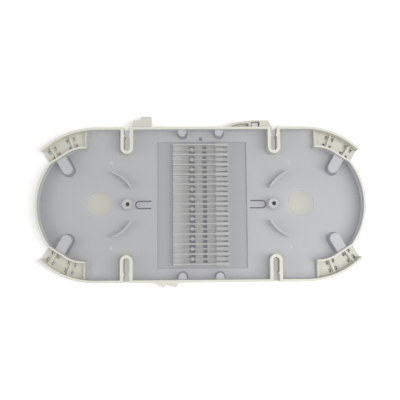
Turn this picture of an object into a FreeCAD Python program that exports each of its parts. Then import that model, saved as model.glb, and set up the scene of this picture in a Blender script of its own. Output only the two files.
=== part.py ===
"""Fibre splice tray: a moulded tray, a 24-way splice holder and a clear lift-off cover.

Millimetres. +X runs along the tray, +Y towards the lugs, +Z up. The origin lies on the underside,
midway between the two fixing bosses.
"""
import FreeCAD, Part
import Sketcher
import math
import os
from types import SimpleNamespace

os.makedirs("parts", exist_ok=True)
doc = FreeCAD.newDocument("splice_tray")

# Driving dimensions

SIZES = [
    # Outline of the tray, in plan
    ("half_length", 132.4, "middle to either rounded end"),
    ("half_width", 62.2, "middle to either long side"),
    ("end_step", 4.6, "radius of the rounded ends, less than half the width by this"),
    ("port_inset", 48.4, "rounded end back to where a corner port leaves the long side"),
    ("port_radius", 64.0, "outer wall of a corner port"),
    ("port_drop", 17.8, "long side down to the end of the port's outer wall"),
    # Heights and thicknesses
    ("tray_height", 11.0, "underside to rim"),
    ("floor_thickness", 2.0, "tray floor"),
    ("wall", 2.0, "outer walls"),
    ("cut_over", 1.0, "how far cutting tools run past what they cut"),
    # Wall between a port and the coil space
    ("lane_wall", 1.5, "thickness of the lane wall"),
    ("lane_overrun", 8.4, "end of the lane wall beyond the start of its port"),
    ("lane_flat", 0.9, "straight end of the lane wall before its bend"),
    ("lane_drop", 17.1, "long side down to the inner face of the lane wall"),
    ("lane_radius", 25.0, "bend of the lane wall"),
    ("lane_angle", 33.0, "slope of the lane wall's straight run, degrees"),
    ("mouth_sweep", 28.0, "direction in which the port's mouth is cut clear, degrees"),
    # Tie bars and tie slots in a port
    ("bar_angle_inner", 68.6, "tie bar next to the cover, degrees"),
    ("bar_angle_outer", 52.0, "tie bar next to the mouth, degrees"),
    ("bar_thickness", 1.6, "tie bars and sill"),
    ("port_floor", 4.0, "floor of a port above the underside"),
    ("bar_height", 2.4, "tie bars above the floor of the port"),
    ("slot_length", 3.0, "tie slots, along the bar"),
    ("slot_width", 2.0, "tie slots, across the bar"),
    ("slot_gap", 0.9, "tie slot to the face of its bar"),
    ("slot_row_outer", 4.6, "port wall to the far end of the outer slots"),
    ("slot_row_inner", 11.2, "port wall to the far end of the inner slots"),
    # Retaining tabs over the floor
    ("tab_top", 9.4, "top of every retaining tab"),
    ("tab_thickness", 1.3, "retaining tabs"),
    ("tab_margin", 1.15, "floor opening beyond the tab above it"),
    ("tab_ledge", 0.6, "floor left between a wall and the opening under its tab"),
    ("tab_reach", 30.0, "run of a tab's strip before the wall trims it"),
    ("corner_tab_inset", 25.4, "rounded end back to the centre of a corner tab's nose"),
    ("corner_tab_drop", 33.8, "long side down to the centre of a corner tab's nose"),
    ("corner_tab_width", 8.4, "corner tabs"),
    ("corner_tab_angle", 60.0, "run of a corner tab towards its wall, degrees"),
    ("side_tab_x", 14.9, "side tabs from the middle"),
    ("side_tab_drop", 4.2, "long side down to the centre of a side tab's nose"),
    ("side_tab_width", 6.4, "side tabs"),
    ("side_tab_angle", 90.0, "run of a side tab towards its wall, degrees"),
    # Spring tongues cut free in the floor, on the long axis
    ("tongue_start", 40.2, "slots beside a tongue begin"),
    ("tongue_tip", 52.4, "round tip of the tongues"),
    ("tongue_width", 5.0, "tongues"),
    ("tongue_gap", 0.9, "slot round a tongue"),
    # Fixing bosses and coil guides
    ("boss_x", 58.7, "fixing bosses from the middle"),
    ("boss_radius", 4.6, "fixing bosses"),
    ("boss_bore", 1.7, "radius of the screw hole"),
    ("boss_top", 9.2, "top of the bosses"),
    ("coil_x", 80.2, "centre of either fibre coil"),
    ("guide_radius", 28.4, "outer face of the guide arcs"),
    ("guide_thickness", 1.5, "guide arcs"),
    ("guide_start", 109.0, "guide arcs begin, degrees about the coil centre"),
    ("guide_sweep", 42.0, "guide arcs, degrees"),
    ("guide_top", 8.6, "top of the guide arcs"),
    ("pip_x", 72.5, "small pips beside the guide arcs"),
    ("pip_y", 34.5, "small pips beside the guide arcs"),
    ("pip_radius", 1.3, "pips"),
    ("pip_height", 0.5, "pips above the floor"),
    # Spring sockets in the long sides
    ("socket_x", 59.3, "sockets from the middle"),
    ("socket_width", 10.0, "outside of a socket"),
    ("socket_gap", 5.0, "inside of a socket"),
    ("socket_length", 21.8, "long side down to the round end of a socket"),
    ("socket_bump_drop", 6.8, "long side down to the bumps that narrow a socket"),
    ("socket_bump_radius", 1.6, "bumps"),
    ("socket_bump_rise", 0.7, "bumps into the gap"),
    # Bay for the splice holder
    ("bay_left", 35.5, "middle to the left end of the bay"),
    ("bay_right", 37.5, "middle to the right end of the bay"),
    ("bay_margin", 2.1, "bay beyond the holder along Y"),
    ("bay_depth", 1.2, "recess in the floor"),
    ("bay_opening_margin", 0.5, "openings in the bay beyond the holder's windows above them"),
    ("vent_share", 0.276, "place of the small hole between bay and wall"),
    ("vent_radius", 1.5, "small hole beside the bay"),
    # Splice holder
    ("slot_count", 24, "splice places"),
    ("slot_pitch", 4.0, "splice places"),
    ("holder_half_length", 22.4, "holder along X"),
    ("holder_margin", 1.4, "base beyond the first and last rib"),
    ("holder_base", 3.4, "thickness of the base"),
    ("rib_thickness", 1.0, "ribs"),
    ("rib_top", 8.8, "top of the ribs"),
    ("rib_dip", 1.6, "every second rib is this much lower than its head"),
    ("head_length", 10.4, "retaining head at the right end of a rib"),
    ("head_width", 2.9, "retaining heads"),
    ("head_depth", 1.0, "straight side of a head"),
    ("head_slope", 1.4, "sloped underside of a head"),
    ("fork_depth", 3.6, "notch in the end of every second head"),
    ("fork_width", 2.0, "notch at the end of a head"),
    ("post_x", 7.1, "round spring posts, left of the middle"),
    ("post_radius", 1.5, "round spring posts"),
    ("post_dip", 0.4, "spring posts below the ribs"),
    ("post_window_length", 4.8, "floor windows beside a post"),
    ("mid_window_x", 3.2, "middle floor windows, right of the middle"),
    ("mid_window_length", 3.4, "middle floor windows"),
    ("end_window_inset", 0.8, "floor windows under the heads, from the end of the base"),
    ("end_window_length", 3.4, "floor windows under the heads"),
    ("window_width", 2.2, "floor windows"),
    ("peg_x", 14.0, "locating pegs from the middle"),
    ("peg_radius", 0.9, "locating pegs"),
    ("peg_fit", 0.1, "clearance round a peg"),
    # Cover
    ("cover_gap", 0.4, "cover to the walls that stand beside it"),
    ("cover_rest", 0.2, "cover above the tabs"),
    ("cover_thickness", 1.2, "cover"),
    ("cover_setback", 2.4, "cover edge short of the lane wall's end"),
    ("cover_notch", 1.6, "cover to the sides of a socket"),
    ("cover_notch_end", 2.8, "cover to the round end of a socket"),
    ("finger_hole_radius", 10.1, "finger holes"),
    ("screw_hole_radius", 4.2, "cover over a boss"),
    # Lugs on the far side
    ("lug_bottom", 2.0, "underside of the lugs"),
    ("lug_top", 9.4, "top of the lugs"),
    ("lug_x", 39.6, "near face of the large lug"),
    ("lug_length", 8.5, "large lug"),
    ("lug_reach", 9.0, "large lug beyond the side"),
    ("lug_step_length", 6.0, "small step of the lug"),
    ("lug_step_reach", 6.2, "small step beyond the side"),
    # Spring latch on the far side
    ("latch_start", 22.6, "where the latch leaves the side"),
    ("latch_shoulder", 24.8, "shoulder of the spring arm"),
    ("shoulder_reach", 3.2, "shoulder beyond the side"),
    ("latch_knee", 42.0, "where the arm turns level"),
    ("latch_reach", 5.5, "level arm beyond the side"),
    ("latch_end", 55.1, "end of the arm"),
    ("latch_slope", 2.9, "slanted end of the latch"),
    ("latch_floor", 3.4, "floor under the slots of the latch"),
    ("arm_slot_start", 25.4, "slot behind the arm begins"),
    ("arm_slot_bend", 31.8, "slot reaches its full width"),
    ("arm_slot_end", 39.3, "slot ends"),
    ("arm_slot_reach", 3.0, "full width of the slot"),
    ("catch_slot_start", 41.0, "slot round the catch begins"),
    ("catch_slot_end", 48.0, "slot round the catch ends"),
    ("catch_slot_reach", 4.4, "slot round the catch, beyond the side"),
    ("catch_gap", 0.5, "catch to the near end of its slot"),
    ("catch_length", 5.1, "catch"),
    ("catch_reach", 3.2, "catch beyond the side"),
    # Two-toothed clip on the near side
    ("clip_x", 25.3, "middle of the clip"),
    ("clip_half_length", 7.5, "clip along X"),
    ("clip_tooth_x", 4.95, "tip of a tooth from the clip's middle"),
    ("clip_root_x", 2.5, "inner foot of a tooth from the clip's middle"),
    ("clip_reach", 4.4, "teeth beyond the side"),
    ("clip_web", 1.6, "web beyond the side"),
]

sheet = doc.addObject("Spreadsheet::Sheet", "sizes")
for row, (alias, value, note) in enumerate(SIZES, start=1):
    sheet.set(f"A{row}", alias)
    sheet.set(f"B{row}", str(value))
    sheet.setAlias(f"B{row}", alias)
    sheet.set(f"C{row}", note)
doc.recompute()


class Size:
    """A number together with the sheet expression that gives it."""

    def __init__(self, value, text):
        self.value = float(value)
        self.text = text

    def __add__(self, other):
        other = as_size(other)
        return Size(self.value + other.value, f"({self.text} + {other.text})")

    def __sub__(self, other):
        other = as_size(other)
        return Size(self.value - other.value, f"({self.text} - {other.text})")

    def __mul__(self, other):
        other = as_size(other)
        return Size(self.value * other.value, f"({self.text} * {other.text})")

    def __truediv__(self, other):
        other = as_size(other)
        return Size(self.value / other.value, f"({self.text} / {other.text})")

    def __neg__(self):
        return Size(-self.value, f"(0 - {self.text})")


def as_size(number):
    """Wraps a plain number; a Size passes through."""
    return number if isinstance(number, Size) else Size(number, str(number))


def root(size):
    return Size(math.sqrt(size.value), f"sqrt({size.text})")


def sine(angle):
    return Size(math.sin(math.radians(angle.value)), f"sin({angle.text})")


def cosine(angle):
    return Size(math.cos(math.radians(angle.value)), f"cos({angle.text})")


s = SimpleNamespace(**{alias: Size(sheet.get(alias), f"sizes.{alias}") for alias, _, _ in SIZES})
ZERO = as_size(0)
HALF_TURN = as_size(180)
UP = FreeCAD.Vector(0, 0, 1)
ALONG_X = FreeCAD.Vector(1, 0, 0)
ALONG_Y = FreeCAD.Vector(0, 1, 0)


# Building blocks: each makes one document object whose sizes follow the sheet

def line(*start):
    """Straight edge of an outline, given by its start point."""
    return SimpleNamespace(start=start, centre=None, turns_left=True)


def arc(start, centre, turns_left=True):
    """Round edge of an outline from its start point about a centre."""
    return SimpleNamespace(start=start, centre=centre, turns_left=turns_left)


def vector(point):
    return FreeCAD.Vector(point[0].value, point[1].value, 0)


def pin_point(sketch, index, position, point):
    """Fixes one point of a sketch to sheet expressions, measured from the origin."""
    for axis, kind, size in ((-2, "DistanceX", point[0]), (-1, "DistanceY", point[1])):
        if size is ZERO:
            sketch.addConstraint(Sketcher.Constraint("PointOnObject", index, position, axis))
        else:
            number = sketch.addConstraint(
                Sketcher.Constraint(kind, -1, 1, index, position, size.value))
            sketch.setExpression(f"Constraints[{number}]", size.text)


def pin_centre(sketch, index, edge, end):
    """Fixes the one freedom that an arc has left between its two pinned ends."""
    across = abs(end[0].value - edge.start[0].value)
    along = abs(end[1].value - edge.start[1].value)
    axis, kind, size = (-1, "DistanceY", edge.centre[1]) if across > along else (
        -2, "DistanceX", edge.centre[0])
    if size is ZERO:
        sketch.addConstraint(Sketcher.Constraint("PointOnObject", index, 3, axis))
        return
    number = sketch.addConstraint(Sketcher.Constraint(kind, -1, 1, index, 3, size.value))
    sketch.setExpression(f"Constraints[{number}]", size.text)


def add_loop(sketch, edges):
    """Adds one closed, fully constrained loop to a sketch."""
    first_index = sketch.GeometryCount
    ends = [edge.start for edge in edges[1:]] + [edges[0].start]
    for edge, end in zip(edges, ends):
        first, last = vector(edge.start), vector(end)
        if edge.centre is None:
            sketch.addGeometry(Part.LineSegment(first, last), False)
            continue
        centre = vector(edge.centre)
        start_angle = math.atan2(first.y - centre.y, first.x - centre.x)
        end_angle = math.atan2(last.y - centre.y, last.x - centre.x)
        circle = Part.Circle(centre, UP, (first - centre).Length)
        angles = (start_angle, end_angle) if edge.turns_left else (end_angle, start_angle)
        sketch.addGeometry(Part.ArcOfCircle(circle, *angles), False)
    heads = [1 if edge.turns_left else 2 for edge in edges]
    tails = [2 if edge.turns_left else 1 for edge in edges]
    for number in range(len(edges)):
        following = (number + 1) % len(edges)
        sketch.addConstraint(Sketcher.Constraint(
            "Coincident", first_index + number, tails[number], first_index + following, heads[following]))
    for number, (edge, end) in enumerate(zip(edges, ends)):
        pin_point(sketch, first_index + number, heads[number], edge.start)
        if edge.centre is not None:
            pin_centre(sketch, first_index + number, edge, end)


def add_circle(sketch, centre, radius):
    """Adds one fully constrained circle to a sketch."""
    number = sketch.addGeometry(Part.Circle(vector(centre), UP, radius.value), False)
    limit = sketch.addConstraint(Sketcher.Constraint("Radius", number, radius.value))
    sketch.setExpression(f"Constraints[{limit}]", radius.text)
    pin_point(sketch, number, 3, centre)


def outline(name, *edges):
    """Plan sketch of one closed loop, at the height of the underside."""
    sketch = doc.addObject("Sketcher::SketchObject", name)
    add_loop(sketch, edges)
    return sketch


def prism(name, sketch, bottom, top):
    """Solid above a plan outline, between two heights."""
    solid = doc.addObject("Part::Extrusion", name)
    solid.Base = sketch
    solid.DirMode = "Custom"
    solid.Dir = UP
    solid.Solid = True
    solid.setExpression("LengthFwd", as_size(top).text)
    solid.setExpression("LengthRev", (-as_size(bottom)).text)
    return solid


def place(thing, x, y, z, turn=ZERO):
    thing.setExpression("Placement.Base.x", as_size(x).text)
    thing.setExpression("Placement.Base.y", as_size(y).text)
    thing.setExpression("Placement.Base.z", as_size(z).text)
    if turn is not ZERO:
        thing.setExpression("Placement.Rotation.Angle", turn.text)


def box(name, x, y, z):
    """Block between the two limits given for each axis."""
    block = doc.addObject("Part::Box", name)
    for prop, (low, high) in (("Length", x), ("Width", y), ("Height", z)):
        block.setExpression(prop, (as_size(high) - low).text)
    place(block, x[0], y[0], z[0])
    return block


def ray_box(name, centre, angle, reach, side, z):
    """Block laid along a ray: between two distances from the centre and two offsets to its left."""
    block = doc.addObject("Part::Box", name)
    for prop, (low, high) in (("Length", reach), ("Width", side), ("Height", z)):
        block.setExpression(prop, (as_size(high) - low).text)
    x = centre[0] + cosine(angle) * reach[0] - sine(angle) * side[0]
    y = centre[1] + sine(angle) * reach[0] + cosine(angle) * side[0]
    place(block, x, y, z[0], angle)
    return block


def cylinder(name, centre, radius, z):
    """Upright cylinder between two heights."""
    post = doc.addObject("Part::Cylinder", name)
    post.setExpression("Radius", as_size(radius).text)
    post.setExpression("Height", (as_size(z[1]) - z[0]).text)
    place(post, centre[0], centre[1], z[0])
    return post


def join(name, *pieces):
    fused = doc.addObject("Part::MultiFuse", name)
    fused.Shapes = list(pieces)
    fused.Refine = True
    return fused


def cut(name, base, *tools):
    """The base less its tools, which stand clear of one another."""
    pared = doc.addObject("Part::Cut", name)
    pared.Base = base
    pared.Refine = False
    pared.Tool = tools[0]
    if len(tools) > 1:
        pared.Tool = doc.addObject("Part::Compound", f"{name}_tools")
        pared.Tool.Links = list(tools)
    return pared


def trim(name, piece, zone):
    """The share of a piece that lies inside a zone."""
    common = doc.addObject("Part::Common", name)
    common.Base = piece
    common.Tool = zone
    return common


def mirror(name, source, normal):
    copy = doc.addObject("Part::Mirroring", name)
    copy.Source = source
    copy.Normal = normal
    return copy


def with_mirror(name, source, normal):
    return join(name, source, mirror(f"{name}_copy", source, normal))


def tab(name, nose, width, angle, z, reach=s.tab_reach):
    """Strip with a round nose, running back from the nose along an angle."""
    half = width / 2
    strip = ray_box(f"{name}_strip", nose, angle, (ZERO, reach), (-half, half), z)
    return join(name, strip, cylinder(f"{name}_nose", nose, half, z))


# Values that several pieces share

THROUGH_FLOOR = (-s.cut_over, s.floor_thickness + s.cut_over)
ABOVE_FLOOR = s.tray_height + s.cut_over
TAB_HEIGHTS = (s.tab_top - s.tab_thickness, s.tab_top)
end_radius = s.half_width - s.end_step
end_centre = (s.half_length - end_radius, ZERO)
port_start = s.half_length - s.port_inset
port_centre = (port_start, s.half_width - s.port_radius)
lane_end = port_start + s.lane_overrun
lane_height = s.half_width - s.lane_drop
lane_centre = (lane_end + s.lane_flat, lane_height - s.lane_radius)
lane_run = (cosine(s.lane_angle), -sine(s.lane_angle))
socket_end = s.half_width - s.socket_length
comb_half = s.slot_pitch * s.slot_count / 2
holder_half_width = comb_half + s.holder_margin
bay_half_width = holder_half_width + s.bay_margin
end_window_x = s.holder_half_length - s.end_window_inset - s.end_window_length / 2


def port_arc_x(y):
    """Where the port's outer face crosses a given Y."""
    rise = y - port_centre[1]
    return port_centre[0] + root(s.port_radius * s.port_radius - rise * rise)


def lane_bend_end(radius):
    """End of the lane wall's bend at a given radius."""
    return (lane_centre[0] + sine(s.lane_angle) * radius, lane_centre[1] + cosine(s.lane_angle) * radius)


def lane_meets_end(start, radius):
    """Where the lane wall's straight run, from its start, crosses the rounded end of a given radius."""
    offset = (start[0] - end_centre[0], start[1])
    along = offset[0] * lane_run[0] + offset[1] * lane_run[1]
    apart = offset[0] * offset[0] + offset[1] * offset[1] - radius * radius
    distance = root(along * along - apart) - along
    return (start[0] + lane_run[0] * distance, start[1] + lane_run[1] * distance)


def coil_space(name, lane_gap, rim_gap, edge_x):
    """Quarter plan of the space inside the walls, kept a gap away from the lane wall and from the
    rim, and ending at edge_x where the port opens into it."""
    bend = s.lane_radius - lane_gap
    bend_end = lane_bend_end(bend)
    corner = lane_meets_end(bend_end, end_radius - s.wall - rim_gap)
    bend_start = (lane_centre[0], lane_centre[1] + bend)
    side = s.half_width - s.wall - rim_gap
    port_face = s.port_radius - s.wall - rim_gap
    rise = root(port_face * port_face - (edge_x - port_start) * (edge_x - port_start))
    return outline(
        name,
        line(ZERO, ZERO),
        arc((s.half_length - s.wall - rim_gap, ZERO), end_centre),
        line(*corner),
        arc(bend_end, lane_centre),
        line(*bend_start),
        line(edge_x, bend_start[1]),
        arc((edge_x, port_centre[1] + rise), port_centre),
        line(port_start, side),
        line(ZERO, side))


# Tray: one quarter of the shell

lane_face = s.lane_radius + s.lane_wall
lane_back = lane_bend_end(lane_face)
mouth_inner = lane_meets_end(lane_back, end_radius)
port_tip = s.half_width - s.port_drop
mouth_outer = (port_arc_x(port_tip), port_tip)

plan = outline(
    "tray_plan",
    line(ZERO, ZERO),
    arc((s.half_length, ZERO), end_centre),
    line(*mouth_inner),
    arc(mouth_outer, port_centre),
    line(port_start, s.half_width),
    line(ZERO, s.half_width))
block = prism("tray_block", plan, ZERO, s.tray_height)

space_plan = coil_space("coil_space_plan", ZERO, ZERO, lane_end)
coil_zone = prism("coil_zone", space_plan, -s.cut_over, ABOVE_FLOOR)
coil_cut = prism("coil_cut", space_plan, s.floor_thickness, ABOVE_FLOOR)
opening_plan = coil_space("opening_zone_plan", s.tab_ledge, s.tab_ledge, lane_end)
opening_zone = prism("opening_zone", opening_plan, *THROUGH_FLOOR)

port_face = s.port_radius - s.wall
clear_x = s.half_length + s.port_radius - end_radius
clear_run = (clear_x - lane_back[0]) / lane_run[0]
port_plan = outline(
    "port_plan",
    line(port_start, lane_centre[1] + lane_face),
    arc((lane_centre[0], lane_centre[1] + lane_face), lane_centre, turns_left=False),
    line(*lane_back),
    line(clear_x, lane_back[1] + lane_run[1] * clear_run),
    arc((port_centre[0] + cosine(s.mouth_sweep) * port_face,
         port_centre[1] + sine(s.mouth_sweep) * port_face), port_centre),
    line(port_start, s.half_width - s.wall))
port_zone = prism("port_zone", port_plan, s.port_floor, ABOVE_FLOOR)

shell = cut("shell", cut("coil_shell", block, coil_cut), port_zone)
lane_tip = cylinder("lane_tip", (lane_end, lane_height + s.lane_wall / 2), s.lane_wall / 2,
                    (ZERO, s.tray_height))

# Tray: tie bars across the port, with a pair of tie slots on either side of each

bar_heights = (s.port_floor, s.port_floor + s.bar_height)
slot_heights = (-s.cut_over, s.port_floor + s.cut_over)
bar_half = s.bar_thickness / 2
bars = []
tie_slots = []
for bar_name, angle in (("inner_bar", s.bar_angle_inner), ("outer_bar", s.bar_angle_outer)):
    long_bar = ray_box(f"{bar_name}_long", port_centre, angle, (ZERO, s.port_radius),
                       (-bar_half, bar_half), bar_heights)
    bars.append(trim(bar_name, long_bar, port_zone))
    near = bar_half + s.slot_gap
    far = near + s.slot_width
    for row_name, row in (("far", s.slot_row_outer), ("near", s.slot_row_inner)):
        start = port_face - row
        reach = (start, start + s.slot_length)
        for side_name, side in (("left", (near, far)), ("right", (-far, -near))):
            tie_slots.append(ray_box(f"{bar_name}_{row_name}_{side_name}_slot", port_centre, angle,
                                     reach, side, slot_heights))
sill_long = box("sill_long", (lane_end, lane_end + s.bar_thickness), (ZERO, s.half_width), bar_heights)
bars.append(trim("sill", sill_long, port_zone))

# Tray: retaining tabs with a floor opening under each

tabs = []
tab_openings = []
corner_nose = (s.half_length - s.corner_tab_inset, s.half_width - s.corner_tab_drop)
side_nose = (s.side_tab_x, s.half_width - s.side_tab_drop)
for tab_name, nose, width, angle in (
        ("corner_tab", corner_nose, s.corner_tab_width, s.corner_tab_angle),
        ("side_tab", side_nose, s.side_tab_width, s.side_tab_angle)):
    whole = tab(f"{tab_name}_whole", nose, width, angle, TAB_HEIGHTS)
    tabs.append(trim(tab_name, whole, coil_zone))
    opening = tab(f"{tab_name}_opening_whole", nose, width + s.tab_margin * 2, angle, THROUGH_FLOOR)
    tab_openings.append(trim(f"{tab_name}_opening", opening, opening_zone))

# Tray: spring socket, open through the long side and the floor

def socket_outline(name, width, end, outer):
    """Plan of a slot with a round inner end, running out to a given Y."""
    half = width / 2
    middle = (s.socket_x, end + half)
    return outline(
        name,
        line(s.socket_x + half, outer),
        line(s.socket_x - half, outer),
        arc((s.socket_x - half, middle[1]), middle),
        line(s.socket_x + half, middle[1]))


socket_wall = (s.socket_width - s.socket_gap) / 2
socket_body = prism(
    "socket_body",
    socket_outline("socket_body_plan", s.socket_width, socket_end, s.half_width),
    s.floor_thickness - s.cut_over, s.tray_height)
socket_pocket = prism(
    "socket_pocket",
    socket_outline("socket_pocket_plan", s.socket_gap, socket_end + socket_wall,
                   s.half_width + s.cut_over),
    -s.cut_over, ABOVE_FLOOR)
bump_offset = s.socket_gap / 2 + s.socket_bump_radius - s.socket_bump_rise
bump_y = s.half_width - s.socket_bump_drop
bumps = [
    cylinder(f"socket_bump_{side}", (x, bump_y), s.socket_bump_radius, (ZERO, s.tray_height))
    for side, x in (("left", s.socket_x - bump_offset), ("right", s.socket_x + bump_offset))]

# Tray: guide arc beside the coil, and the pip next to it

def sector(name, radius):
    wedge = cylinder(name, (s.coil_x, ZERO), radius, (s.floor_thickness - s.cut_over, s.guide_top))
    wedge.setExpression("Angle", s.guide_sweep.text)
    wedge.setExpression("Placement.Rotation.Angle", s.guide_start.text)
    return wedge


guide = cut("guide", sector("guide_outer", s.guide_radius),
            sector("guide_inner", s.guide_radius - s.guide_thickness))
pip = cylinder("pip", (s.pip_x, s.pip_y), s.pip_radius,
               (s.floor_thickness - s.cut_over, s.floor_thickness + s.pip_height))

# Tray: quarter to half, with the boss and the flush tongue that lie on the long axis

open_shell = cut("open_shell", shell, *tie_slots, *tab_openings)
quarter_solid = join("quarter_solid", open_shell, lane_tip, socket_body, guide, pip, *bars, *tabs)
quarter = join("quarter", cut("quarter_cut", quarter_solid, socket_pocket), *bumps)
half_shell = with_mirror("half_shell", quarter, ALONG_Y)

boss = cylinder("boss", (s.boss_x, ZERO), s.boss_radius, (ZERO, s.boss_top))
tongue_half = s.tongue_width / 2
tongue_nose = (s.tongue_tip - tongue_half, ZERO)
tongue_run = tongue_nose[0] - s.tongue_start
tongue = tab("tongue", tongue_nose, s.tongue_width, HALF_TURN,
             (THROUGH_FLOOR[0] - s.cut_over, THROUGH_FLOOR[1] + s.cut_over), tongue_run + s.cut_over)
tongue_slot = cut("tongue_slot", tab("tongue_slot_whole", tongue_nose, s.tongue_width + s.tongue_gap * 2,
                                     HALF_TURN, THROUGH_FLOOR, tongue_run), tongue)
boss_bore = cylinder("boss_bore_hole", (s.boss_x, ZERO), s.boss_bore,
                     (-s.cut_over, s.boss_top + s.cut_over))
half_solid = join("half_solid", half_shell, boss)
half = cut("half", half_solid, tongue_slot, boss_bore)
whole_shell = with_mirror("whole_shell", half, ALONG_X)

# Tray: lugs, latch and clip, each on one side only

inside = s.half_width - s.wall / 2
lug = box("lug", (-s.lug_x - s.lug_length, -s.lug_x), (inside, s.half_width + s.lug_reach),
          (s.lug_bottom, s.lug_top))
lug_step_x = -s.lug_x - s.lug_length
lug_step = box("lug_step", (lug_step_x - s.lug_step_length, lug_step_x),
               (inside, s.half_width + s.lug_step_reach), (s.lug_bottom, s.lug_top))

latch_y = s.half_width + s.latch_reach
latch_frame = prism("latch_frame", outline(
    "latch_plan",
    line(s.latch_start, inside),
    line(s.latch_end + s.latch_slope, inside),
    line(s.latch_end + s.latch_slope, s.half_width),
    line(s.latch_end, latch_y),
    line(s.latch_knee, latch_y),
    line(s.latch_shoulder, s.half_width + s.shoulder_reach),
    line(s.latch_start, s.half_width)), s.lug_bottom, s.lug_top)
hollow_heights = (s.lug_bottom + s.latch_floor, s.lug_top + s.cut_over)
slot_y = s.half_width + s.arm_slot_reach
arm_slot = prism("arm_slot", outline(
    "arm_slot_plan",
    line(s.arm_slot_start, s.half_width),
    line(s.arm_slot_end, s.half_width),
    line(s.arm_slot_end, slot_y),
    line(s.arm_slot_bend, slot_y),
    line(s.arm_slot_start, s.half_width + s.arm_slot_reach / 3)), *hollow_heights)
catch_slot = box("catch_slot", (s.catch_slot_start, s.catch_slot_end),
                 (s.half_width, s.half_width + s.catch_slot_reach), hollow_heights)
latch = cut("latch", latch_frame, arm_slot, catch_slot)
catch_x = s.catch_slot_start + s.catch_gap
catch = box("catch", (catch_x, catch_x + s.catch_length), (inside, s.half_width + s.catch_reach),
            (s.lug_bottom, s.lug_top))

rim_face = s.half_width - s.wall
clip_plan = outline(
    "clip_plan",
    line(-s.clip_x + s.clip_half_length, -rim_face),
    line(-s.clip_x - s.clip_half_length, -rim_face),
    line(-s.clip_x - s.clip_half_length, -s.half_width),
    line(-s.clip_x - s.clip_tooth_x, -s.half_width - s.clip_reach),
    line(-s.clip_x - s.clip_root_x, -s.half_width - s.clip_web),
    line(-s.clip_x + s.clip_root_x, -s.half_width - s.clip_web),
    line(-s.clip_x + s.clip_tooth_x, -s.half_width - s.clip_reach),
    line(-s.clip_x + s.clip_half_length, -s.half_width))
clip = prism("clip", clip_plan, s.lug_bottom, s.tray_height)

bay_floor = s.floor_thickness - s.bay_depth
bay = box("bay", (-s.bay_left, s.bay_right), (-bay_half_width, bay_half_width),
          (bay_floor, s.floor_thickness + s.cut_over))
vent_y = bay_half_width + (s.half_width - s.wall - bay_half_width) * s.vent_share
vent = cylinder("vent", (ZERO, vent_y), s.vent_radius, THROUGH_FLOOR)
bay_opening_y = comb_half - (s.slot_pitch - s.window_width) / 2 + s.bay_opening_margin
mid_opening = (-s.post_x - s.post_window_length / 2, s.mid_window_x + s.mid_window_length / 2)
end_opening = (end_window_x - s.end_window_length / 2, end_window_x + s.end_window_length / 2)
bay_openings = [
    box(f"{opening_name}_bay_opening", (x[0] - s.bay_opening_margin, x[1] + s.bay_opening_margin),
        (-bay_opening_y, bay_opening_y), THROUGH_FLOOR)
    for opening_name, x in (("mid", mid_opening), ("end", end_opening))]
peg_places = [(-s.peg_x, ZERO), (s.peg_x, ZERO)]
peg_holes = [cylinder(f"peg_hole_{number}", place_xy, s.peg_radius + s.peg_fit, THROUGH_FLOOR)
             for number, place_xy in enumerate(peg_places, start=1)]
tray_solid = join("tray_solid", whole_shell, lug, lug_step, latch, catch, clip)
recessed = cut("recessed", tray_solid, bay)
tray = cut("tray", recessed, vent, *peg_holes, *bay_openings)

# Splice holder: a base with a comb of ribs, heads that narrow each place, and floor windows

holder = doc.addObject("PartDesign::Body", "splice_holder")
planes = {feature.Role: feature for feature in holder.Origin.OriginFeatures}
base_bottom = bay_floor
base_top = bay_floor + s.holder_base


def holder_sketch(name, plane, offset, *loops):
    """Sketch of the holder, on one of its own planes moved by an offset."""
    sketch = holder.newObject("Sketcher::SketchObject", name)
    sketch.AttachmentSupport = (planes[plane], [""])
    sketch.MapMode = "FlatFace"
    sketch.setExpression("AttachmentOffset.Base.z", as_size(offset).text)
    for edges in loops:
        add_loop(sketch, edges)
    return sketch


def rectangle(x, y):
    return [line(x[0], y[0]), line(x[1], y[0]), line(x[1], y[1]), line(x[0], y[1])]


def pad(name, sketch, length):
    solid = holder.newObject("PartDesign::Pad", name)
    solid.Profile = sketch
    solid.setExpression("Length", length.text)
    return solid


def pocket(name, sketch, depth):
    """Cut downwards from a sketch."""
    hollow = holder.newObject("PartDesign::Pocket", name)
    hollow.Profile = sketch
    hollow.setExpression("Length", depth.text)
    return hollow


def repeat(name, feature, count, spacing):
    """Row of copies of a feature along +Y."""
    copies = holder.newObject("PartDesign::LinearPattern", name)
    copies.Originals = [feature]
    copies.Direction = (planes["Y_Axis"], [""])
    copies.Mode = "Spacing"
    copies.setExpression("Offset", spacing.text)
    copies.setExpression("Occurrences", count.text)
    holder.Tip = copies
    return copies


full_x = (-s.holder_half_length, s.holder_half_length)
base_plan = rectangle(full_x, (-holder_half_width, holder_half_width))
pad("base", holder_sketch("base_plan", "XY_Plane", base_bottom, base_plan), s.holder_base)

low_y = s.slot_pitch - comb_half
pair_pitch = s.slot_pitch * 2
pairs = s.slot_count / 2
half_rib = s.rib_thickness / 2
for rib_name, rib_y, rib_top, rib_count in (
        ("main_rib", -comb_half, s.rib_top, pairs + 1),
        ("low_rib", low_y, s.rib_top - s.rib_dip, pairs)):
    rib_plan = rectangle(full_x, (rib_y - half_rib, rib_y + half_rib))
    rib = pad(rib_name, holder_sketch(f"{rib_name}_plan", "XY_Plane", base_top, rib_plan), rib_top - base_top)
    repeat(f"{rib_name}s", rib, rib_count, pair_pitch)

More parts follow.
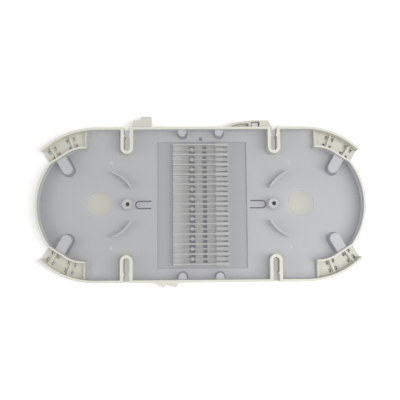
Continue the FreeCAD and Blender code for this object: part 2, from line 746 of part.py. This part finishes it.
# Section of a head, seen along X: a flat top, straight sides and a sloped underside
half_head = s.head_width / 2
shoulder = s.rib_top - s.head_depth
throat = shoulder - s.head_slope
head_section = [
    line(-comb_half - half_rib, base_top),
    line(-comb_half + half_rib, base_top),
    line(-comb_half + half_rib, throat),
    line(-comb_half + half_head, shoulder),
    line(-comb_half + half_head, s.rib_top),
    line(-comb_half - half_head, s.rib_top),
    line(-comb_half - half_head, shoulder),
    line(-comb_half - half_rib, throat)]
head_start = s.holder_half_length - s.head_length
head = pad("head", holder_sketch("head_plan", "YZ_Plane", head_start, head_section), s.head_length)
repeat("heads", head, s.slot_count + 1, s.slot_pitch)

# Floor windows in every place: beside the posts, in the middle and under the heads
window_y = s.slot_pitch / 2 - comb_half
window_span = (window_y - s.window_width / 2, window_y + s.window_width / 2)
window_loops = [
    rectangle((middle - length / 2, middle + length / 2), window_span)
    for middle, length in (
        (-s.post_x, s.post_window_length), (s.mid_window_x, s.mid_window_length),
        (end_window_x, s.end_window_length))]
windows = pocket("windows", holder_sketch("windows_plan", "XY_Plane", base_top, *window_loops), s.holder_base)
repeat("window_rows", windows, s.slot_count, s.slot_pitch)

# Every second rib carries a round post, and its head ends in a notch
fork_mouth = s.holder_half_length + s.cut_over
fork_plan = [
    line(s.holder_half_length - s.fork_depth, low_y),
    line(fork_mouth, low_y - s.fork_width / 2),
    line(fork_mouth, low_y + s.fork_width / 2)]
fork = pocket("fork", holder_sketch("fork_plan", "XY_Plane", s.rib_top, fork_plan), s.rib_top - throat)
repeat("forks", fork, pairs, pair_pitch)
post_plan = holder_sketch("post_plan", "XY_Plane", base_bottom)
add_circle(post_plan, (-s.post_x, low_y), s.post_radius)
repeat("posts", pad("post", post_plan, s.rib_top - s.post_dip - base_bottom), pairs, pair_pitch)

pegs_plan = holder_sketch("pegs_plan", "XY_Plane", ZERO)
for place_xy in peg_places:
    add_circle(pegs_plan, place_xy, s.peg_radius)
holder.Tip = pad("pegs", pegs_plan, base_bottom)

# Clear cover: a plate that lies on the tabs inside the rim, notched round the sockets, with two
# finger holes and two screw holes

cover_bottom = s.tab_top + s.cover_rest
cover_heights = (cover_bottom, cover_bottom + s.cover_thickness)
cover_cut = (cover_bottom - s.cut_over, cover_heights[1] + s.cut_over)
cover_plan = coil_space("cover_plan", s.cover_gap, s.cover_gap, lane_end - s.cover_setback)
cover_quarter = prism("cover_quarter", cover_plan, *cover_heights)
cover_notch = prism(
    "cover_notch_cut",
    socket_outline("cover_notch_plan", s.socket_width + s.cover_notch * 2, socket_end - s.cover_notch_end,
                   s.half_width + s.cut_over),
    *cover_cut)
cover_half = with_mirror("cover_half", cut("cover_notched", cover_quarter, cover_notch), ALONG_Y)
finger_hole = cylinder("finger_hole", (s.coil_x, ZERO), s.finger_hole_radius, cover_cut)
screw_hole = cylinder("screw_hole", (s.boss_x, ZERO), s.screw_hole_radius, cover_cut)
cover = with_mirror("clear_cover", cut("cover_holed", cover_half, finger_hole, screw_hole), ALONG_X)

# Check every object, then write one file for each piece

doc.recompute()
for thing in doc.Objects:
    if "Invalid" in thing.State or "Error" in thing.State:
        raise RuntimeError(f"{thing.Name}: {thing.State}")
for piece in (tray, holder, cover):
    shape = piece.Shape
    if shape.isNull() or not shape.isValid():
        raise RuntimeError(f"{piece.Label}: no valid shape")
    if len(shape.Solids) != 1:
        raise RuntimeError(f"{piece.Label}: {len(shape.Solids)} solids")
    shape.exportStep(f"parts/{piece.Label}.step")
    print(piece.Label, round(shape.Volume), shape.BoundBox)
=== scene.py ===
"""Looks of a fibre splice tray: moulded tray, splice holder and clear lift-off cover."""
import math

import bmesh
import bpy
from mathutils import Matrix


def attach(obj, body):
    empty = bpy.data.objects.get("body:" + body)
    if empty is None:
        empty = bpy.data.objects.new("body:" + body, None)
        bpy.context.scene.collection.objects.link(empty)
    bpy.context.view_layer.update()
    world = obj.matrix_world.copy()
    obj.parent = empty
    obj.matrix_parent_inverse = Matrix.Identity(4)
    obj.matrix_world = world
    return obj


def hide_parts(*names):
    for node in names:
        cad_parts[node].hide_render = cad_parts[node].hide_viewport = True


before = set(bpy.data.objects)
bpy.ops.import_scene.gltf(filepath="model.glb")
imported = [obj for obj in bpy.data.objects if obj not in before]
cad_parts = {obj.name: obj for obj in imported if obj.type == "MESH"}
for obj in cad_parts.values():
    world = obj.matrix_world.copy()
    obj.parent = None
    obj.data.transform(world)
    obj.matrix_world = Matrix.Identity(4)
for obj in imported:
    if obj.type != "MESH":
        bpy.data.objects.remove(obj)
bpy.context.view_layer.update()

# Tray. One injection moulding in cream plastic, probably ABS: a flat floor with an upright rim,
# four cable ports, spring sockets, tabs, guides, lugs and a latch. The tool leaves every edge
# slightly rounded and the faces with a fine spark texture.

MM = 0.001
TRAY_EDGE = 0.22 * MM
WELD = 0.002 * MM
FLAT_ANGLE = math.radians(0.4)
EDGE_ANGLE = math.radians(25)
CREASE_ANGLE = math.radians(50)

BLACK = (0.0, 0.0, 0.0, 1.0)
WHITE = (1.0, 1.0, 1.0, 1.0)
TRAY_LIGHT = (0.740, 0.740, 0.662, 1.0)
TRAY_DARK = (0.702, 0.701, 0.620, 1.0)
FLOW_CLOUDS = {"Scale": 28.0, "Detail": 3.0}
SATIN_CLOUDS = {"Scale": 90.0, "Detail": 4.0}
SATIN = 0.36
SATIN_SPREAD = 0.12
GRAIN_CLOUDS = {"Scale": 2600.0, "Detail": 2.0}
GRAIN_DEPTH = 0.1 * MM
GRAIN_STRENGTH = 0.12
PLASTIC_IOR = 1.5

FLOOR_TOP = 2.2 * MM
# Painted shade: level faces below each height are darker by its share, and corners are darker too,
# which leaves the rim tops lighter.
TRAY_SHADE_STEPS = ((10.6 * MM, 0.13), (FLOOR_TOP, 0.08), (1.4 * MM, 0.12))
LEVEL_NORMAL = 0.5
TRAY_CORNER_SHADE = 0.16
CORNER_REACH = 7.0 * MM
CORNER_RAYS = 8
# The boss tops are tinted grey, each pip is painted paler as a highlight, and the floor along the
# two rounded ends is painted darker as shade.
BOSS_PLACE = (58.7 * MM, 0.0, 0.0)
BOSS_RADIUS = 4.8 * MM
BOSS_FOOT = 8.8 * MM
BOSS_GREY = (0.50, 0.50, 0.51, 1.0)
BOSS_GREYING = 0.75
PIP_PLACE = (72.5 * MM, 34.5 * MM, 0.0)
PIP_CORE = 0.6 * MM
PIP_REACH = 2.8 * MM
PIP_HIGHLIGHT = 0.20
END_PLACE = (74.8 * MM, 0.0, 0.0)
END_RADIUS = 54.0 * MM
END_WIDTH = 16.0 * MM
END_START = END_PLACE[0] + END_WIDTH
END_FULL = END_PLACE[0] + END_WIDTH * 2.0
END_SHADE = 0.20


def plain_mesh(piece):
    """Mesh of an object with its modifiers applied."""
    settled = piece.evaluated_get(bpy.context.evaluated_depsgraph_get())
    return bpy.data.meshes.new_from_object(settled)


def new_piece(name, data):
    """Object of a mesh, a lamp or a camera, in the scene."""
    piece = bpy.data.objects.new(name, data)
    bpy.context.scene.collection.objects.link(piece)
    return piece


def moulding(name, source, edge_radius, material):
    """Piece made from a mesh: one welded skin with its sharp edges rounded and its flats flat."""
    skin = bmesh.new()
    skin.from_mesh(source)
    bmesh.ops.remove_doubles(skin, verts=skin.verts, dist=WELD)
    bmesh.ops.dissolve_limit(skin, angle_limit=FLAT_ANGLE, verts=skin.verts, edges=skin.edges)
    sharp = [edge for edge in skin.edges
             if edge.is_manifold and edge.is_convex and edge.calc_face_angle() > EDGE_ANGLE]
    bmesh.ops.bevel(skin, geom=sharp, offset=edge_radius, offset_type="OFFSET", affect="EDGES",
                    segments=2, profile=0.5, clamp_overlap=False, miter_outer="SHARP",
                    miter_inner="SHARP")
    for face in skin.faces:
        face.smooth = True
    for edge in skin.edges:
        edge.smooth = edge.is_manifold and edge.calc_face_angle() < (
            CREASE_ANGLE if edge.is_convex else EDGE_ANGLE)
    mesh = bpy.data.meshes.new(name)
    skin.to_mesh(mesh)
    skin.free()
    piece = new_piece(name, mesh)
    weigh = piece.modifiers.new("flat_faces_lead", "WEIGHTED_NORMAL")
    weigh.keep_sharp = True
    weigh.weight = 100
    settled = plain_mesh(piece)
    piece.modifiers.clear()
    piece.data = settled
    settled.name = name
    settled.materials.clear()
    settled.materials.append(material)
    return piece


class Socket:
    """One output of a node; sums and products of it add Math nodes."""

    def __init__(self, tree, socket=None):
        self.tree = tree
        self.socket = socket

    def node(self, kind, settings, values, output=0):
        """Adds a node of a kind: its settings first, then the values or links of its inputs."""
        made = self.tree.nodes.new(kind)
        for key, value in settings.items():
            setattr(made, key, value)
        for key, value in values.items():
            for entry in value if isinstance(value, list) else [value]:
                if isinstance(entry, Socket):
                    self.tree.links.new(entry.socket, made.inputs[key])
                else:
                    made.inputs[key].default_value = entry
        return Socket(self.tree, made.outputs[output])

    def math(self, operation, *values):
        return self.node("ShaderNodeMath", {"operation": operation}, dict(enumerate(values)))

    def vector(self, operation, *values, output="Vector"):
        return self.node("ShaderNodeVectorMath", {"operation": operation},
                         dict(enumerate(values)), output)

    def __add__(self, other):
        return self.math("ADD", self, other)

    def __sub__(self, other):
        return self.math("SUBTRACT", self, other)

    def __rsub__(self, other):
        return self.math("SUBTRACT", other, self)

    def __mul__(self, other):
        return self.math("MULTIPLY", self, other)

    def __truediv__(self, other):
        return self.math("DIVIDE", self, other)

    def __pow__(self, other):
        return self.math("POWER", self, other)

    def __neg__(self):
        return self * -1.0

    __radd__ = __add__
    __rmul__ = __mul__


def new_material(name):
    """Material with one Principled shader; gives it, the shader's inputs and object coordinates."""
    material = bpy.data.materials.new(name)
    material.use_nodes = True
    tree = material.node_tree
    shader = next(node for node in tree.nodes if node.type == "BSDF_PRINCIPLED")
    return material, shader.inputs, Socket(tree).node("ShaderNodeTexCoord", {}, {}, "Object")


def feed(inputs, **values):
    """Sets or links the inputs of a shader; an underscore in a name stands for a space."""
    for name, value in values.items():
        socket = inputs[name.replace("_", " ")]
        if isinstance(value, Socket):
            value.tree.links.new(value.socket, socket)
        else:
            socket.default_value = value


def clouds(place, sizes):
    """Noise between 0 and 1, whose scale is in cells a metre."""
    return place.node("ShaderNodeTexNoise", {}, {"Vector": place, **sizes})


def tint(factor, first, second):
    """Colour between two colours."""
    return factor.node("ShaderNodeMix", {"data_type": "RGBA"}, {0: factor, 6: first, 7: second}, 2)


def ramp(value, start, full):
    """Rises smoothly from 0 where the value is at the start to 1 where it is full."""
    return value.node("ShaderNodeMapRange", {"interpolation_type": "SMOOTHSTEP"}, {
        "Value": value, "From Min": start, "From Max": full})


def along(axis, vector):
    """One coordinate of a vector."""
    return vector.node("ShaderNodeSeparateXYZ", {}, {0: vector}, axis)


def face_normal(place):
    return place.node("ShaderNodeNewGeometry", {}, {}, "Normal")


def spark_texture(place):
    """Normal of the fine grain that spark erosion leaves on a moulding tool."""
    return place.node("ShaderNodeBump", {}, {
        "Strength": GRAIN_STRENGTH, "Distance": GRAIN_DEPTH,
        "Height": clouds(place, GRAIN_CLOUDS)})


def moulded_plastic(name, light, dark, shade_steps, painted_shading, corners=0.0):
    """Satin moulded plastic: faint flow clouds in its colour, uneven polish and a fine grain. Level
    faces below the height of a step are darker by its share, and so are corners: this is painted
    shade, because the light of the stage alone doesn't shade them enough. The piece's own painted
    shading goes over that colour."""
    material, inputs, place = new_material(name)
    # painted shade: level faces below each step's height are darker by its share
    shade = sum(place.math("LESS_THAN", along("Z", place), height) * share
                for height, share in shade_steps)
    # painted shade in the corners, from the piece's own ambient occlusion
    if corners:
        open_sky = place.node("ShaderNodeAmbientOcclusion", {
            "only_local": True, "samples": CORNER_RAYS}, {"Distance": CORNER_REACH}, "AO")
        shade = (1.0 - open_sky) * corners + shade
    level = place.math("GREATER_THAN", along("Z", face_normal(place)), LEVEL_NORMAL)
    colour = tint(level * shade, tint(clouds(place, FLOW_CLOUDS), dark, light), BLACK)
    feed(inputs,
         Base_Color=painted_shading(place, colour),
         Roughness=clouds(place, SATIN_CLOUDS) * SATIN_SPREAD + SATIN,
         Normal=spark_texture(place),
         IOR=PLASTIC_IOR)
    return material


def tray_painted_shading(place, colour):
    """Grey boss tops, a painted highlight on each pip, and painted shade on the floor along the two
    rounded ends.
    """
    height = along("Z", place)
    quarter = place.vector("ABSOLUTE", place)
    plan = place.vector("MULTIPLY", quarter, (1.0, 1.0, 0.0))
    from_boss, from_pip, from_end = (
        place.vector("DISTANCE", plan, spot, output="Value")
        for spot in (BOSS_PLACE, PIP_PLACE, END_PLACE))
    # boss tops tinted grey
    on_boss = (place.math("LESS_THAN", from_boss, BOSS_RADIUS)
               * place.math("GREATER_THAN", height, BOSS_FOOT))
    # painted highlight on each pip
    on_pip = ramp(PIP_REACH - from_pip, 0.0, PIP_REACH - PIP_CORE)
    # painted shade on the floor along the rounded ends
    at_end = (ramp(from_end, END_RADIUS - END_WIDTH, END_RADIUS)
              * ramp(along("X", quarter), END_START, END_FULL)
              * place.math("LESS_THAN", height, FLOOR_TOP))
    ringed = tint(on_boss * BOSS_GREYING, colour, BOSS_GREY)
    dotted = tint(on_pip * PIP_HIGHLIGHT, ringed, WHITE)
    return tint(at_end * END_SHADE, dotted, BLACK)


tray_plastic = moulded_plastic(
    "cream_plastic", TRAY_LIGHT, TRAY_DARK, TRAY_SHADE_STEPS, tray_painted_shading, TRAY_CORNER_SHADE)
tray = moulding("tray_moulding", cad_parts["tray"].data, TRAY_EDGE, tray_plastic)
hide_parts("tray")
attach(tray, "base")

# Splice holder. A second moulding in the same kind of plastic: a base plate with a comb of drafted
# ribs, retaining heads that keep the splice sleeves down, round spring posts and shut-off windows.
# It drops into the bay of the tray, and two pegs under it stand in for its fixing.

HOLDER_EDGE = 0.16 * MM
HOLDER_LIGHT = (0.650, 0.644, 0.536, 1.0)
HOLDER_DARK = (0.615, 0.608, 0.500, 1.0)
# Painted shade below the rib crests, so that the crests read as lit lines.
HOLDER_SHADE_STEPS = ((8.6 * MM, 0.18), (4.5 * MM, 0.03))
# Painted light: the holder is painted paler towards its left end.
PALE_START = 13.0 * MM
PALE_FULL = 19.0 * MM
HOLDER_PAINTED_LIGHT = 0.22
POST_SIDES = 28
OVER = 0.5 * MM
SINK = 0.2 * MM
COMB = {
    "Places": 24,
    "Pitch": 4.0 * MM,
    "Length": 44.8 * MM,
    "Width": 98.8 * MM,
    "Base bottom": 0.8 * MM,
    "Base top": 4.2 * MM,
    "Rib foot": 1.2 * MM,
    "Rib crest": 1.05 * MM,
    "Low rib foot": 1.3 * MM,
    "Low rib crest": 1.1 * MM,
    "Rib top": 8.8 * MM,
    "Low rib top": 7.2 * MM,
    "Head length": 10.4 * MM,
    "Head width": 2.9 * MM,
    "Head drop": 0.35 * MM,
    "Head depth": 1.0 * MM,
    "Head slope": 1.4 * MM,
    "Fork depth": 3.6 * MM,
    "Fork tip": 0.3 * MM,
    "Fork width": 2.0 * MM,
    "Post reach": 7.1 * MM,
    "Post radius": 1.5 * MM,
    "Post top": 8.4 * MM,
    "Window width": 2.2 * MM,
    "Post window length": 4.8 * MM,
    "Middle window": 3.2 * MM,
    "Short window length": 3.4 * MM,
    "End window": 19.9 * MM,
    "Peg reach": 14.0 * MM,
    "Peg radius": 0.9 * MM,
}
comb = bpy.data.node_groups.new("splice_comb", "GeometryNodeTree")
for size_name, value in COMB.items():
    socket_type = "NodeSocketInt" if isinstance(value, int) else "NodeSocketFloat"
    comb.interface.new_socket(size_name, in_out="INPUT", socket_type=socket_type)
comb.interface.new_socket("Moulding", in_out="OUTPUT", socket_type="NodeSocketGeometry")
given = comb.nodes.new("NodeGroupInput")
size = {size_name: Socket(comb, given.outputs[size_name]) for size_name in COMB}
bench = Socket(comb)


def at(x, y, z):
    return bench.node("ShaderNodeCombineXYZ", {}, {0: x, 1: y, 2: z})


def moved(piece, x, y, z):
    return bench.node("GeometryNodeTransform", {}, {"Geometry": piece, "Translation": at(x, y, z)})


def drafted_block(length, foot, crest, low, high, x, y, grows="Z"):
    """Block between two heights whose width changes from foot to crest along one axis."""
    cube = bench.node("GeometryNodeMeshCube", {}, {"Size": at(length, 1.0, high - low)})
    position = bench.node("GeometryNodeInputPosition", {}, {})
    parts = {axis: along(axis, position) for axis in "XYZ"}
    share = parts[grows] / (high - low if grows == "Z" else length) + 0.5
    width = (crest - foot) * share + foot
    shaped = bench.node("GeometryNodeSetPosition", {}, {
        "Geometry": cube, "Position": at(parts["X"], parts["Y"] * width, parts["Z"])})
    return moved(shaped, x, y, (low + high) * 0.5)


def round_post(radius, low, high, x, y):
    post = bench.node("GeometryNodeMeshCylinder", {}, {
        "Vertices": POST_SIDES, "Radius": radius, "Depth": high - low})
    return moved(post, x, y, (high + low) * 0.5)


def row(piece, count, pitch):
    """Copies of a piece, a pitch apart along +Y."""
    line = bench.node("GeometryNodeMeshLine", {}, {"Count": count, "Offset": at(0.0, pitch, 0.0)})
    copies = bench.node("GeometryNodeInstanceOnPoints", {}, {"Points": line, "Instance": piece})
    return bench.node("GeometryNodeRealizeInstances", {}, {"Geometry": copies})


def united(*pieces):
    return bench.node("GeometryNodeMeshBoolean", {"operation": "UNION", "solver": "MANIFOLD"},
                      {"Mesh 2": list(pieces)})


def pared(piece, *tools):
    return bench.node("GeometryNodeMeshBoolean", {"operation": "DIFFERENCE", "solver": "MANIFOLD"},
                      {"Mesh 1": piece, "Mesh 2": list(tools)})


def holder_painted_light(place, colour):
    """Painted light: paler towards the end on the left."""
    at_left = ramp(-along("X", place), PALE_START, PALE_FULL)
    return tint(at_left * HOLDER_PAINTED_LIGHT, colour, WHITE)


first_rib = size["Places"] * size["Pitch"] * -0.5
first_low = first_rib + size["Pitch"]
first_place = first_rib + size["Pitch"] * 0.5
pair = size["Pitch"] * 2.0
pairs = size["Places"] / 2.0
foot_z = size["Base top"] - SINK
plate = drafted_block(size["Length"], size["Width"], size["Width"],
                      size["Base bottom"], size["Base top"], 0.0, 0.0)
windows = [
    row(drafted_block(length, size["Window width"], size["Window width"],
                      size["Base bottom"] - OVER, size["Base top"] + OVER, x, first_place),
        size["Places"], size["Pitch"])
    for x, length in ((-size["Post reach"], size["Post window length"]),
                      (size["Middle window"], size["Short window length"]),
                      (size["End window"], size["Short window length"]))]
ribs = [
    row(drafted_block(size["Length"], size[f"{kind} foot"], size[f"{kind} crest"],
                      foot_z, size[f"{kind} top"], 0.0, y),
        count, pair)
    for kind, y, count in (("Rib", first_rib, pairs + 1.0), ("Low rib", first_low, pairs))]
head_x = (size["Length"] - size["Head length"]) * 0.5
head_top = size["Rib top"] - size["Head drop"]
shoulder = head_top - size["Head depth"]
throat = shoulder - size["Head slope"]
head_blocks = [
    drafted_block(size["Head length"], foot, crest, low, high, head_x, first_rib)
    for foot, crest, low, high in (
        (size["Head width"], size["Head width"], shoulder, head_top),
        (size["Rib crest"], size["Head width"], throat, shoulder),
        (size["Rib foot"], size["Rib crest"], foot_z, throat + SINK))]
heads = row(united(*head_blocks), size["Places"] + 1.0, size["Pitch"])
fork_length = size["Fork depth"] + OVER
fork_x = size["Length"] * 0.5 + OVER - fork_length * 0.5
forks = row(drafted_block(fork_length, size["Fork tip"], size["Fork width"],
                          throat + OVER, size["Rib top"] + OVER, fork_x, first_low, "X"),
            pairs, pair)
posts = row(round_post(size["Post radius"], size["Base bottom"], size["Post top"],
                       -size["Post reach"], first_low),
            pairs, pair)
pegs = [round_post(size["Peg radius"], 0.0, size["Base bottom"] + SINK, x, 0.0)
        for x in (-size["Peg reach"], size["Peg reach"])]
whole = united(pared(united(pared(plate, *windows), *ribs, heads), forks), posts, *pegs)
holder_plastic = moulded_plastic(
    "holder_plastic", HOLDER_LIGHT, HOLDER_DARK, HOLDER_SHADE_STEPS, holder_painted_light)
finished = bench.node("GeometryNodeSetMaterial", {}, {
    "Geometry": bench.node("GeometryNodeRealizeInstances", {}, {"Geometry": whole}),
    "Material": holder_plastic})
handed_out = comb.nodes.new("NodeGroupOutput")
comb.links.new(finished.socket, handed_out.inputs["Moulding"])

blank = new_piece("comb_blank", bpy.data.meshes.new("comb_blank"))
builder = blank.modifiers.new("splice_comb", "NODES")
builder.node_group = comb
for entry in comb.interface.items_tree:
    if entry.in_out == "INPUT":
        builder[entry.identifier] = COMB[entry.name]
holder = moulding("splice_holder_moulding", plain_mesh(blank), HOLDER_EDGE, holder_plastic)
bpy.data.objects.remove(blank)
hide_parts("splice_holder")
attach(holder, "base")

# Clear cover. A sheet of clear plastic, probably polycarbonate, cut to lie inside the rim over the
# tabs, that lifts off by its two finger holes. Its polished edges, its cool tint and a slight haze
# show.

COVER_EDGE = 0.25 * MM
COVER_HAZE = (0.58, 0.59, 0.70, 1.0)
COVER_TINT = (0.973, 0.975, 1.0, 1.0)
COVER_CLOUDS = {"Scale": 40.0, "Detail": 3.0}
COVER_POLISH = 0.22
COVER_SPREAD = 0.08
HAZE_SHARE = 0.09
EDGE_SHARE = 0.45
GLANCE_SHARE = 0.2
GLANCE_BLEND = 0.35
clear_plastic, inputs, place = new_material("clear_plastic")
feed(inputs, Base_Color=COVER_HAZE, IOR=PLASTIC_IOR,
     Roughness=clouds(place, COVER_CLOUDS) * COVER_SPREAD + COVER_POLISH)
glancing = place.node("ShaderNodeLayerWeight", {}, {"Blend": GLANCE_BLEND}, "Facing") ** 2.0
lying = place.math("ABSOLUTE", along("Z", face_normal(place))) ** 2.0
material_output = next(node for node in place.tree.nodes if node.type == "OUTPUT_MATERIAL")
surface = material_output.inputs["Surface"]
sheet = place.node("ShaderNodeMixShader", {}, {
    0: glancing * GLANCE_SHARE + (1.0 - lying) * EDGE_SHARE + HAZE_SHARE,
    1: place.node("ShaderNodeBsdfTransparent", {}, {"Color": COVER_TINT}),
    2: Socket(place.tree, surface.links[0].from_socket)})
place.tree.links.new(sheet.socket, surface)
cover = moulding("clear_cover_sheet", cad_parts["clear_cover"].data, COVER_EDGE, clear_plastic)
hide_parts("clear_cover")
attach(cover, "cover")

# Stage. A white table top in a bright white room, with two soft boxes on the right and a weaker one
# on the left. A grey card under the tray is painted shade that makes the openings in its floor read
# dark, and cards of other greys under its sockets and tongues are painted shade there too.


def grey(share):
    return (share, share, share, 1.0)


# Painted shade: grey sheets under the tray, its sockets and its tongues, where there is only shade;
# the ones under the sockets glow a little where seen.
SHADE_CARD_QUARTER = [(24, 59.5), (40, 52.5), (52, 38), (68, 38), (104, 43), (117, 34.5), (126, 18)]
SHADE_CARD_HEIGHT = -0.3
SHADE_CARD_GREY = grey(0.30)
SHADE_CARD_GLOW = 0.05
SOCKET_SHADE_CARD = ((56, 44), (62.6, 44), (62.6, 62), (56, 62))
SOCKET_SHADE_GREY = (0.20, 0.20, 0.21, 1.0)
SOCKET_SHADE_GLOW = 0.40
TONGUE_SHADE_CARD = ((34, -6), (55, -6), (55, 6), (34, 6))
TONGUE_HEIGHT = -0.25
TONGUE_SHADE_GREY = grey(0.16)
TONGUE_SHADE_GLOW = 0.0
TABLE_REACH = 3000
TABLE_HEIGHT = -0.5
TABLE_WHITE = grey(0.95)
TABLE_GLOW = 0.2
MATT = 0.9
ROOM_LIGHT = grey(0.41)
SOFT_BOXES = {
    "side_box": ((0.80, -0.15, 0.80), 0.6, 5.0),
    "top_box": ((0.35, -0.05, 1.00), 0.4, 2.6),
    "fill_box": ((-0.80, -0.10, 0.50), 0.5, 2.2),
}
EYE_SENSOR = 36.0
EYE_LENS = 50.4
EYE_PLACE = (-0.0073, -0.0398, 0.4552)
EYE_TURNS = {"X": 5.48, "Y": -0.84, "Z": -0.39}


def seen_directly(nodes):
    """1 where a ray from the camera, or one reflected or let through by a piece, ends."""
    from_camera, reflected, let_through = (
        nodes.node("ShaderNodeLightPath", {}, {}, f"Is {ray} Ray")
        for ray in ("Camera", "Glossy", "Transmission"))
    return nodes.math("MAXIMUM", from_camera, nodes.math("MAXIMUM", reflected, let_through))


def flat_sheet(name, corners, height, colour, glow):
    """Level matt sheet of the stage, whose glow only brightens what is seen of it."""
    mesh = bpy.data.meshes.new(name)
    mesh.from_pydata([(x * MM, y * MM, height * MM) for x, y in corners], [],
                     [range(len(corners))])
    material, inputs, place = new_material(name)
    feed(inputs, Base_Color=colour, Roughness=MATT, Emission_Strength=1.0,
         Emission_Color=tint(seen_directly(place), BLACK, grey(glow)))
    mesh.materials.append(material)
    new_piece(name, mesh)


right_edge = [(x, -y) for x, y in SHADE_CARD_QUARTER] + SHADE_CARD_QUARTER[::-1]
left_edge = [(-x, -y) for x, y in right_edge]
# painted shade under the tray, its tongues and its sockets
flat_sheet("painted_shade_card", right_edge + left_edge, SHADE_CARD_HEIGHT, SHADE_CARD_GREY, SHADE_CARD_GLOW)
for side in (-1, 1):
    flat_sheet("tongue_shade_card", [(x * side, y) for x, y in TONGUE_SHADE_CARD],
               TONGUE_HEIGHT, TONGUE_SHADE_GREY, TONGUE_SHADE_GLOW)
    for end in (-1, 1):
        flat_sheet("socket_shade_card", [(x * side, y * end) for x, y in SOCKET_SHADE_CARD],
                   SHADE_CARD_HEIGHT, SOCKET_SHADE_GREY, SOCKET_SHADE_GLOW)
table = [(-TABLE_REACH, -TABLE_REACH), (TABLE_REACH, -TABLE_REACH), (TABLE_REACH, TABLE_REACH),
         (-TABLE_REACH, TABLE_REACH)]
flat_sheet("white_table", table, TABLE_HEIGHT, TABLE_WHITE, TABLE_GLOW)

studio = bpy.data.worlds.new("studio")
bpy.context.scene.world = studio
studio.use_nodes = True
feed(studio.node_tree.nodes["Background"].inputs, Strength=1.0,
     Color=tint(seen_directly(Socket(studio.node_tree)), ROOM_LIGHT, WHITE))

for box_name, (spot, width, power) in SOFT_BOXES.items():
    lamp = bpy.data.lights.new(box_name, "AREA")
    lamp.shape = "SQUARE"
    lamp.size = width
    lamp.energy = power
    soft_box = new_piece(box_name, lamp)
    soft_box.location = spot
    soft_box.rotation_euler = (-soft_box.location).to_track_quat("-Z", "Y").to_euler()

eye = bpy.data.cameras.new("photo_view")
eye.sensor_width = EYE_SENSOR
eye.lens = EYE_LENS
view = Matrix.Translation(EYE_PLACE)
for axis, turn in EYE_TURNS.items():
    view = view @ Matrix.Rotation(math.radians(turn), 4, axis)
camera = new_piece("photo_view", eye)
camera.matrix_world = view
bpy.context.scene.camera = camera

bpy.context.scene.view_settings.view_transform = "Standard"
